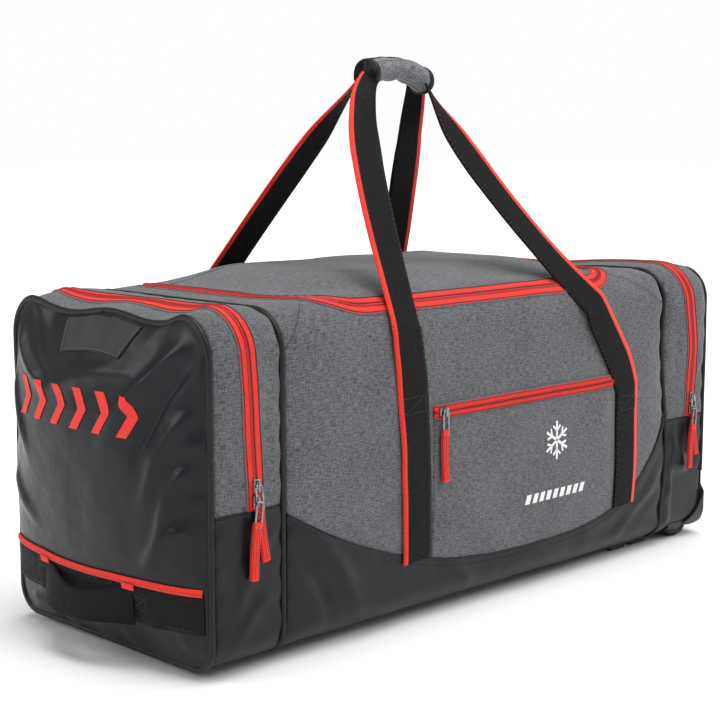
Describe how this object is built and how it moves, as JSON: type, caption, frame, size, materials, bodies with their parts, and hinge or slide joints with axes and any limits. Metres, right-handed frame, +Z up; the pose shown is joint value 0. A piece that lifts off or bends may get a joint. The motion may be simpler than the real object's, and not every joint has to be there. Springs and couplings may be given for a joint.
{
  "type": "hockey equipment bag",
  "caption": "Wheeled duffel for ice hockey gear: hinged zip lid, fold-down end pockets, paired carrying loops, end grab handles, skid rails and corner wheels.",
  "frame": {"origin": "on the floor under the middle of the bag", "axes": "+X to the wheel end, +Z up, -Y to the front face with the flat pocket"},
  "size_m": [1.034, 0.3795, 0.676],
  "materials": {
    "grey_heather": "melange woven polyester",
    "coated_fabric": "PVC-coated, semi-gloss",
    "lining": "plain woven",
    "zip_tape": "coil zip tape",
    "piping": "satin",
    "webbing": "woven webbing",
    "vent_mesh": "textured mesh",
    "board": "matte",
    "black_plastic": "fine grain",
    "foot_rubber": "matte",
    "tyre": "matte",
    "hub_plastic": "satin",
    "steel": "brushed",
    "slider_metal": "nickel plated",
    "zip_pull": "woven tab on a wire loop"
  },
  "bodies": {
    "shell": {"back_panel": "grey_heather", "base_board": "board", "base_feet": "foot_rubber", "divider_pipings": "piping", "end_handle_bands": "webbing", "end_pipings_lower": "piping", "front_panel": "grey_heather", "front_pocket": "grey_heather", "front_pocket_zip": "zip_tape", "housing_rivets": "steel", "left_divider": "lining", "left_end_panel_lower": "coated_fabric", "left_pocket_base": "coated_fabric", "left_pocket_gusset": "grey_heather", "left_zip_inner": "zip_tape", "lid_zip_outer": "zip_tape", "lower_wrap": "coated_fabric", "right_divider": "lining", "right_end_panel_lower": "coated_fabric", "right_pocket_base": "coated_fabric", "right_pocket_gusset": "grey_heather", "right_zip_inner": "zip_tape", "sewn_straps_front": "webbing", "sewn_straps_rear": "webbing", "skid_rails": "black_plastic", "top_left_panel": "grey_heather", "top_right_panel": "grey_heather", "wheel_axles": "steel", "wheel_housing_back": "black_plastic", "wheel_housing_front": "black_plastic"},
    "lid": {"lid_panel": "grey_heather", "lid_zip_inner": "zip_tape"},
    "front_wheel": {"front_tyre": "tyre", "front_wheel_hub": "hub_plastic"},
    "back_wheel": {"back_tyre": "tyre", "back_wheel_hub": "hub_plastic"},
    "left_grab_loop": {"left_grab_handle": "webbing"},
    "right_grab_loop": {"right_grab_handle": "webbing"},
    "front_loop": {"front_handle_webbing": "webbing", "front_grip_half": "grey_heather"},
    "rear_loop": {"rear_handle_webbing": "webbing", "rear_grip_half": "grey_heather"},
    "left_flap": {"left_end_panel_upper": "coated_fabric", "left_flap_gusset": "grey_heather", "left_piping_upper": "piping", "left_zip_outer": "zip_tape", "left_vent_window": "vent_mesh"},
    "right_flap": {"right_end_panel_upper": "coated_fabric", "right_flap_gusset": "grey_heather", "right_piping_upper": "piping", "right_zip_outer": "zip_tape", "right_vent_window": "vent_mesh"},
    "left_pocket_zip_slider": {"left_pocket_slider": "slider_metal"},
    "left_pocket_zip_pull": {"left_pocket_pull": "zip_pull"},
    "right_pocket_zip_slider": {"right_pocket_slider": "slider_metal"},
    "right_pocket_zip_pull": {"right_pocket_pull": "zip_pull"},
    "front_pocket_zip_slider": {"front_pocket_slider": "slider_metal"},
    "front_pocket_zip_pull": {"front_pocket_pull": "zip_pull"},
    "lid_zip_slider": {"lid_slider": "slider_metal"},
    "lid_zip_pull": {"lid_pull": "zip_pull"}
  },
  "joints": [
    {"name": "lid_open", "type": "hinge", "parent": "shell", "child": "lid", "pos_m": [0, 0.092, 0.393], "axis": [-1, 0, 0], "range_deg": [0, 105]},
    {"name": "left_flap_open", "type": "hinge", "parent": "shell", "child": "left_flap", "pos_m": [-0.5035, 0, 0.196], "axis": [0, -1, 0], "range_deg": [0, 85]},
    {"name": "right_flap_open", "type": "hinge", "parent": "shell", "child": "right_flap", "pos_m": [0.5035, 0, 0.196], "axis": [0, 1, 0], "range_deg": [0, 85]},
    {"name": "front_handle_swing", "type": "hinge", "parent": "shell", "child": "front_loop", "pos_m": [-0.15, -0.1816, 0.287], "axis": [0.9934, 0, -0.1147], "range_deg": [0, 147]},
    {"name": "rear_handle_swing", "type": "hinge", "parent": "shell", "child": "rear_loop", "pos_m": [-0.172, 0.1816, 0.287], "axis": [-0.9979, 0, 0.0645], "range_deg": [0, 105]},
    {"name": "front_wheel_spin", "type": "hinge", "parent": "shell", "child": "front_wheel", "pos_m": [0.425, -0.152, 0.03], "axis": [0, 1, 0], "continuous": true},
    {"name": "back_wheel_spin", "type": "hinge", "parent": "shell", "child": "back_wheel", "pos_m": [0.425, 0.152, 0.03], "axis": [0, 1, 0], "continuous": true},
    {"name": "left_grab_swing", "type": "hinge", "parent": "shell", "child": "left_grab_loop", "pos_m": [-0.492, 0, 0.0895], "axis": [0, 1, 0], "range_deg": [0, 90]},
    {"name": "right_grab_swing", "type": "hinge", "parent": "shell", "child": "right_grab_loop", "pos_m": [0.492, 0, 0.0895], "axis": [0, -1, 0], "range_deg": [0, 90]},
    {"name": "left_pocket_slide", "type": "slide", "parent": "shell", "child": "left_pocket_zip_slider", "axis": [0, 0, 1], "range_m": [0, 0.128]},
    {"name": "right_pocket_slide", "type": "slide", "parent": "shell", "child": "right_pocket_zip_slider", "axis": [0, 0, 1], "range_m": [0, 0.128]},
    {"name": "front_pocket_slide", "type": "slide", "parent": "shell", "child": "front_pocket_zip_slider", "axis": [1, 0, 0], "range_m": [0, 0.305]},
    {"name": "lid_slide", "type": "slide", "parent": "shell", "child": "lid_zip_slider", "axis": [0, -1, 0], "range_m": [0, 0.2]},
    {"name": "left_pocket_pull_swing", "type": "hinge", "parent": "left_pocket_zip_slider", "child": "left_pocket_zip_pull", "pos_m": [-0.408, -0.1846, 0.208], "axis": [-1, 0, 0], "range_deg": [0, 165]},
    {"name": "right_pocket_pull_swing", "type": "hinge", "parent": "right_pocket_zip_slider", "child": "right_pocket_zip_pull", "pos_m": [0.408, -0.1846, 0.208], "axis": [-1, 0, 0], "range_deg": [0, 165]},
    {"name": "front_pocket_pull_swing", "type": "hinge", "parent": "front_pocket_zip_slider", "child": "front_pocket_zip_pull", "pos_m": [-0.111, -0.1906, 0.253], "axis": [-1, 0, 0], "range_deg": [0, 165]},
    {"name": "lid_pull_swing", "type": "hinge", "parent": "lid_zip_slider", "child": "lid_zip_pull", "pos_m": [0.258, 0.112, 0.3976], "axis": [0, -1, 0], "range_deg": [0, 165]}
  ],
  "couplings": [
    {"joint": "front_handle_swing", "follows": "lid_open", "ratio": 1.4},
    {"joint": "rear_handle_swing", "follows": "lid_open", "ratio": 1}
  ]
}
